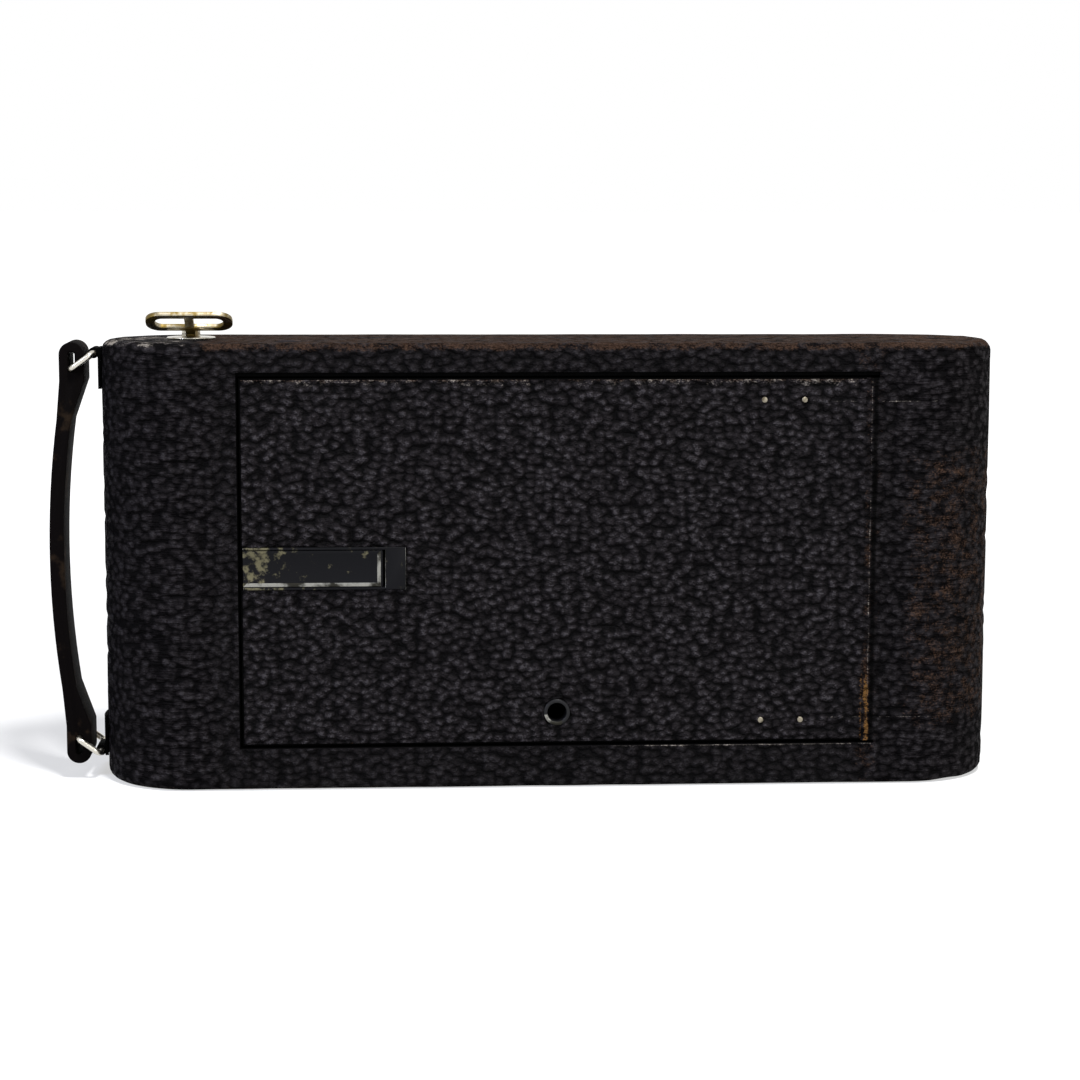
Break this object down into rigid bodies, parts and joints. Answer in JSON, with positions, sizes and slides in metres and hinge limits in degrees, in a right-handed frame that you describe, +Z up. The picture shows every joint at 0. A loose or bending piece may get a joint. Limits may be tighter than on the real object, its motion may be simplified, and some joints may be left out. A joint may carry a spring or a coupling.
{
  "type": "folding pocket camera",
  "caption": "Leather-covered folding roll-film camera with a drop bed, bellows and lens standard, winding key, lift-off back, folding foot and carrying strap.",
  "frame": {"origin": "middle of the flat bottom, on which the camera rests on its long side", "axes": "+X right along the body's length, +Y to the back, +Z up; the lens looks along -Y when the bed is open"},
  "size_m": [0.2551, 0.0481, 0.1267],
  "materials": {
    "black_leather": "pebble-grained, worn at the edges",
    "strap_leather": "smooth, stitched double",
    "black_enamel": "satin black",
    "shutter_black": "gloss black",
    "nickel_plate": "worn nickel plate",
    "brushed_steel": "bright",
    "brass": "turned, lacquered",
    "lens_glass": "polished",
    "ruby_window": "ruby sheet",
    "mirror": "silvered",
    "bellows_leather": "thin goatskin, folded",
    "polished_board": "polished dark hardwood",
    "spool_wood": "turned, stained",
    "scale_plate": "silvered, marks filled black",
    "button_leather": "the covering over the button"
  },
  "bodies": {
    "root": {"body_shell": "black_enamel", "body_leather": "black_leather", "inner_frame": "black_enamel", "film_gate": "black_enamel", "body_hinge_leaf": "brushed_steel", "hinge_pin": "brushed_steel", "key_bush": "nickel_plate", "strap_lugs": "nickel_plate", "spool_pins": "brushed_steel", "body_socket": "brass", "button_spring": "brushed_steel"},
    "back": {"back_cover": "black_enamel", "back_leather": "black_leather", "window_ring": "shutter_black", "red_window": "ruby_window"},
    "catch_left": {"back_catch_left": "nickel_plate"},
    "catch_right": {"back_catch_right": "nickel_plate"},
    "bed": {"door_panel": "black_enamel", "door_leather": "black_leather", "door_hinge_leaf": "brushed_steel", "bed_rails": "nickel_plate", "leg_carriage": "nickel_plate", "focus_scale": "scale_plate", "strut_brackets": "nickel_plate", "bed_socket": "brass", "foot_frame": "nickel_plate", "door_rivets": "brass", "door_catch": "nickel_plate"},
    "foot": {"bed_foot": "nickel_plate"},
    "legs": {"leg_frame": "nickel_plate"},
    "strut_a": {"strut_upper": "nickel_plate"},
    "strut_b": {"strut_lower": "nickel_plate"},
    "standard": {"standard_frame": "nickel_plate", "lens_board": "polished_board", "shutter_case": "shutter_black", "shutter_face": "shutter_black", "lens_barrel": "brass", "front_glass": "lens_glass", "rear_cell": "brass", "rear_glass": "lens_glass", "iris_leaves": "shutter_black", "shutter_blades": "shutter_black", "bellows": "bellows_leather"},
    "dial": {"speed_dial": "nickel_plate"},
    "aperture": {"aperture_lever": "nickel_plate"},
    "trigger": {"release_lever": "nickel_plate"},
    "finder": {"finder_body": "black_enamel", "finder_lens": "lens_glass", "finder_mirror": "mirror", "finder_glass": "lens_glass"},
    "key": {"key_shaft": "nickel_plate"},
    "bow": {"key_bow": "nickel_plate"},
    "spool": {"takeup_spool": "spool_wood"},
    "roller_left": {"guide_roller_left": "brushed_steel"},
    "roller_right": {"guide_roller_right": "brushed_steel"},
    "button": {"release_button": "button_leather"},
    "carry_strap": {"strap": "strap_leather"},
    "upper_ring": {"ring_top": "nickel_plate"},
    "lower_ring": {"ring_bottom": "nickel_plate"}
  },
  "joints": [
    {"name": "door_hinge", "type": "hinge", "parent": "root", "child": "bed", "pos_m": [0.0845, -0.0232, 0.061], "axis": [0, 0, 1], "range_deg": [0, 90]},
    {"name": "board_slide", "type": "slide", "parent": "root", "child": "standard", "axis": [0, -1, 0], "range_m": [0, 0.1215], "deforming": ["bellows"]},
    {"name": "leg_fold", "type": "hinge", "parent": "bed", "child": "legs", "pos_m": [-0.0165, -0.018, 0.061], "axis": [0, 0, 1], "range_deg": [-90.5, 0]},
    {"name": "strut_upper_swing", "type": "hinge", "parent": "root", "child": "strut_a", "pos_m": [0.0565, -0.0177, 0.106], "axis": [0, 0, 1], "range_deg": [0, 128]},
    {"name": "strut_lower_swing", "type": "hinge", "parent": "root", "child": "strut_b", "pos_m": [0.0565, -0.0177, 0.016], "axis": [0, 0, 1], "range_deg": [0, 128]},
    {"name": "foot_hinge", "type": "hinge", "parent": "bed", "child": "foot", "pos_m": [-0.046, -0.02335, 0.061], "axis": [0, 0, 1], "range_deg": [0, 90]},
    {"name": "back_lift_off", "type": "slide", "parent": "root", "child": "back", "axis": [0, 1, 0], "range_m": [0, 0.06]},
    {"name": "catch_left_slide", "type": "slide", "parent": "back", "child": "catch_left", "axis": [0, 0, 1], "range_m": [0, 0.004]},
    {"name": "catch_right_slide", "type": "slide", "parent": "back", "child": "catch_right", "axis": [0, 0, 1], "range_m": [0, 0.004]},
    {"name": "speed_dial_turn", "type": "hinge", "parent": "standard", "child": "dial", "pos_m": [-0.017, -0.012, 0.061], "axis": [0, 1, 0], "range_deg": [0, 270]},
    {"name": "aperture_turn", "type": "hinge", "parent": "standard", "child": "aperture", "pos_m": [0, -0.012, 0.061], "axis": [0, 1, 0], "range_deg": [0, 50]},
    {"name": "release_swing", "type": "hinge", "parent": "standard", "child": "trigger", "pos_m": [-0.01118, -0.012, 0.07697], "axis": [0, 1, 0], "range_deg": [0, 14], "stiffness_Nm_per_rad": 0.002},
    {"name": "finder_swivel", "type": "hinge", "parent": "standard", "child": "finder", "pos_m": [-0.0285, -0.002, 0.0815], "axis": [0, 1, 0], "range_deg": [0, 90]},
    {"name": "key_spin", "type": "hinge", "parent": "root", "child": "key", "pos_m": [-0.0965, 0, 0.119], "axis": [0, 0, 1], "continuous": true},
    {"name": "bow_fold", "type": "hinge", "parent": "key", "child": "bow", "pos_m": [-0.0965, 0, 0.1203], "axis": [-1, 0, 0], "range_deg": [-23, 61]},
    {"name": "spool_spin", "type": "hinge", "parent": "root", "child": "spool", "pos_m": [-0.0965, 0, 0.061], "axis": [0, 0, 1], "continuous": true},
    {"name": "roller_left_spin", "type": "hinge", "parent": "root", "child": "roller_left", "pos_m": [-0.08, 0.0116, 0.061], "axis": [0, 0, 1], "continuous": true},
    {"name": "roller_right_spin", "type": "hinge", "parent": "root", "child": "roller_right", "pos_m": [0.08, 0.0116, 0.061], "axis": [0, 0, 1], "continuous": true},
    {"name": "button_press", "type": "slide", "parent": "root", "child": "button", "axis": [0, 0, -1], "range_m": [0, 0.0013], "stiffness_N_per_m": 400},
    {"name": "ring_top_swing", "type": "hinge", "parent": "root", "child": "upper_ring", "pos_m": [-0.1222, 0, 0.1154], "axis": [0, 1, 0], "range_deg": [0, 16]},
    {"name": "strap_swing", "type": "hinge", "parent": "upper_ring", "child": "carry_strap", "pos_m": [-0.1278, 0, 0.1114], "axis": [0, 1, 0], "range_deg": [-16.2, 0]},
    {"name": "ring_bottom_swing", "type": "hinge", "parent": "root", "child": "lower_ring", "pos_m": [-0.1222, 0, 0.0074], "axis": [0, 1, 0], "range_deg": [-16.2, 0]}
  ],
  "couplings": [
    {"joint": "board_slide", "follows": "door_hinge", "m_per_rad": 0.0772},
    {"joint": "leg_fold", "follows": "door_hinge", "ratio": -1},
    {"joint": "strut_upper_swing", "follows": "door_hinge", "ratio": 1.4147},
    {"joint": "strut_lower_swing", "follows": "door_hinge", "ratio": 1.4147},
    {"joint": "spool_spin", "follows": "key_spin", "ratio": 1},
    {"joint": "roller_right_spin", "follows": "roller_left_spin", "ratio": 1},
    {"joint": "strap_swing", "follows": "ring_top_swing", "ratio": -1},
    {"joint": "ring_bottom_swing", "follows": "ring_top_swing", "ratio": -1}
  ]
}
